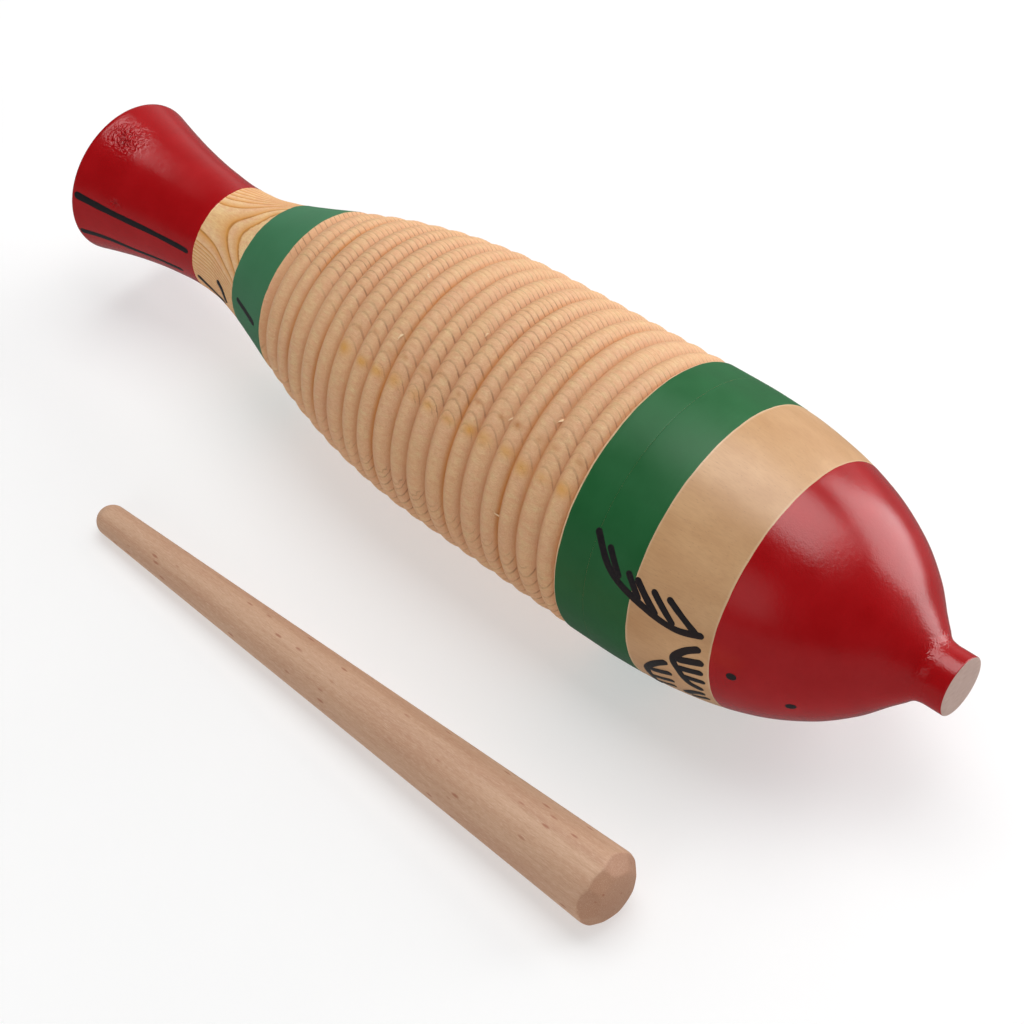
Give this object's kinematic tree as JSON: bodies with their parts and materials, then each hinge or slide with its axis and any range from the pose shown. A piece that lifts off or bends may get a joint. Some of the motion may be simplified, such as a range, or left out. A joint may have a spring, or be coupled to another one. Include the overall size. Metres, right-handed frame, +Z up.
{
  "type": "fish guiro",
  "caption": "Turned wooden fish-shaped guiro, hollow, with rounded ridges round its barrel, a painted tail, bands and nose, and a loose tapered scraper lying beside it.",
  "frame": {"origin": "on the table, under the middle of the bounding box of the instrument and its scraper", "axes": "+X along the instrument from tail to nose, +Z up, the scraper on the -Y side"},
  "size_m": [0.3506, 0.156, 0.0923],
  "materials": {
    "pine_body": "bare turned pine with satin painted bands",
    "painted_head": "gloss paint and lacquer on hardwood",
    "painted_dowel": "gloss paint, bare cut end",
    "beech": "bare sanded beech"
  },
  "bodies": {
    "instrument": {"ridged_body": "pine_body", "head": "painted_head", "nose_dowel": "painted_dowel"},
    "scraper": {"scraper": "beech"}
  },
  "joints": [
    {"name": "scraper_slide", "type": "slide", "parent": "instrument", "child": "scraper", "axis": [0, 0.5835, 0.8121], "range_m": [0, 0.085]}
  ]
}
